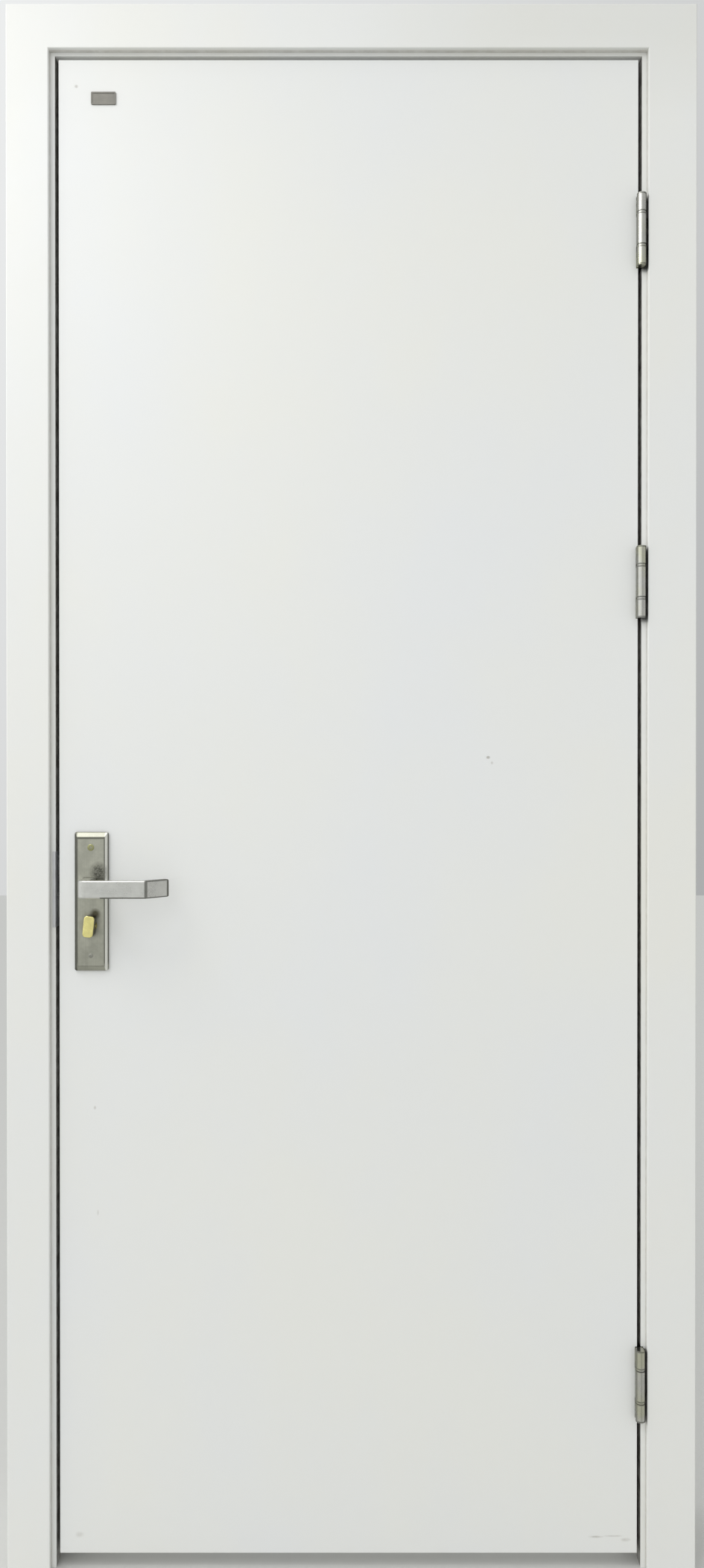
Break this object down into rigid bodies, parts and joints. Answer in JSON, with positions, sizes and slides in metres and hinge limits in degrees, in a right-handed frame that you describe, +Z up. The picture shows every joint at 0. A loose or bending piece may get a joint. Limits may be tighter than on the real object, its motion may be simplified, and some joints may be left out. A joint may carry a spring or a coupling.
{
  "type": "composite door",
  "caption": "Flush white composite door leaf on butt hinges in a lined frame with flat architraves, long-plate lever handles, a brass thumb turn and a bare badge.",
  "frame": {"origin": "foot of the hinge jamb's wall face, on the front edge of the lining, at floor level", "axes": "+X out of the hinge jamb into the wall, +Y through the doorway from front to back, +Z up"},
  "size_m": [0.941, 0.198, 2.14],
  "materials": {
    "frame_paint": "smooth white foil on wood-plastic composite",
    "leaf_paint": "smooth white sheet, satin",
    "leaf_core": "raw composite, matt",
    "seal_rubber": "soft grey rubber, matt",
    "hinge_steel": "satin stainless steel",
    "handle_steel": "satin nickel steel",
    "lock_steel": "brushed steel",
    "turn_brass": "polished brass",
    "badge_metal": "satin grey metal"
  },
  "bodies": {
    "frame": {"lock_jamb": "frame_paint", "hinge_jamb": "frame_paint", "head_jamb": "frame_paint", "stop_lock_side": "frame_paint", "stop_hinge_side": "frame_paint", "stop_head": "frame_paint", "front_architrave_lock_side": "frame_paint", "front_architrave_hinge_side": "frame_paint", "front_architrave_head": "frame_paint", "back_architrave_lock_side": "frame_paint", "back_architrave_hinge_side": "frame_paint", "back_architrave_head": "frame_paint", "seal_lock_side": "seal_rubber", "seal_hinge_side": "seal_rubber", "seal_head": "seal_rubber", "strike_plate": "lock_steel", "hinge_top_frame_plate": "hinge_steel", "hinge_top_pin": "hinge_steel", "hinge_top_bearings": "hinge_steel", "hinge_middle_frame_plate": "hinge_steel", "hinge_middle_pin": "hinge_steel", "hinge_middle_bearings": "hinge_steel", "hinge_bottom_frame_plate": "hinge_steel", "hinge_bottom_pin": "hinge_steel", "hinge_bottom_bearings": "hinge_steel"},
    "leaf": {"front_skin": "leaf_paint", "back_skin": "leaf_paint", "lock_stile": "leaf_paint", "hinge_stile": "leaf_paint", "top_rail": "leaf_paint", "bottom_rail": "leaf_paint", "core": "leaf_core", "lock_case": "lock_steel", "lock_forend": "lock_steel", "latch_bolt": "lock_steel", "dead_bolt": "lock_steel", "lock_cylinder": "turn_brass", "front_handle_plate": "handle_steel", "back_handle_plate": "handle_steel", "badge": "badge_metal", "hinge_top_door_plate": "hinge_steel", "hinge_middle_door_plate": "hinge_steel", "hinge_bottom_door_plate": "hinge_steel"},
    "levers": {"front_lever": "handle_steel", "back_lever": "handle_steel", "spindle": "lock_steel"},
    "thumb_turn": {"thumb_turn": "turn_brass"}
  },
  "joints": [
    {"name": "door_swing", "type": "hinge", "parent": "frame", "child": "leaf", "pos_m": [-0.0375, -0.008, 1.045], "axis": [0, 0, 1], "range_deg": [0, 170]},
    {"name": "lever_press", "type": "hinge", "parent": "leaf", "child": "levers", "pos_m": [-0.789, 0.02, 0.939], "axis": [0, 1, 0], "range_deg": [0, 45], "stiffness_Nm_per_rad": 1.2, "springref_deg": -28.65},
    {"name": "thumb_turn_spin", "type": "hinge", "parent": "leaf", "child": "thumb_turn", "pos_m": [-0.789, -0.015, 0.8855], "axis": [0, -1, 0], "range_deg": [0, 360]}
  ]
}
